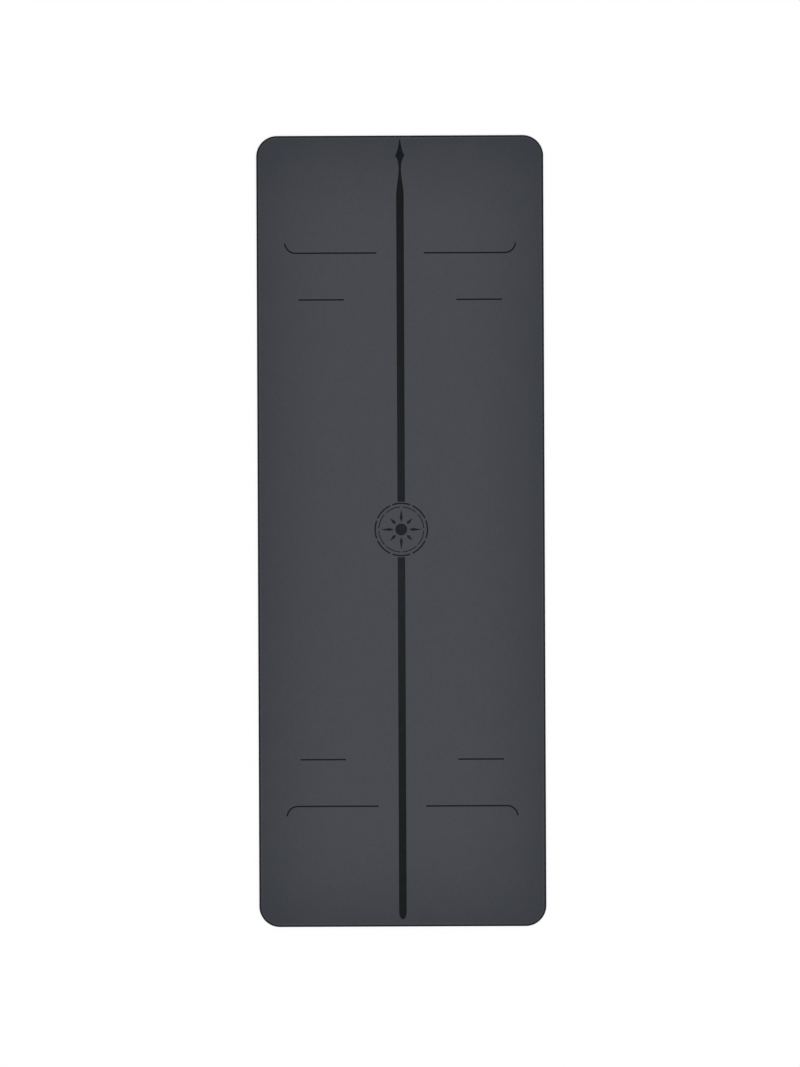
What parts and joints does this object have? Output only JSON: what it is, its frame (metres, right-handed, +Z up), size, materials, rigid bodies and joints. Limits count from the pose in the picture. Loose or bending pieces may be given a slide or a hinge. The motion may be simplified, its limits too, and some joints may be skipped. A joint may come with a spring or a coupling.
{
  "type": "yoga mat",
  "caption": "Yoga mat lying flat: a matt grip skin with cut-through guide marks on a dark backing cloth and a foamed rubber base, with round corners.",
  "frame": {"origin": "middle of the underside, on the floor", "axes": "+X across the mat, +Y along the mat to the end that the centre line points at, +Z up out of the floor"},
  "size_m": [0.664, 1.83, 0.0042],
  "materials": {
    "foamed_rubber": "black foamed natural rubber, die-cut at the edge, with a fine moulded grip relief underneath",
    "backing_cloth": "near-black close woven backing cloth, seen only in the guide marks and as a line in the edge",
    "grip_skin": "charcoal grey matt coated skin with a very fine even grain"
  },
  "bodies": {
    "root": {"rubber_base": "foamed_rubber", "backing_cloth": "backing_cloth", "grip_skin": "grip_skin"}
  },
  "joints": []
}
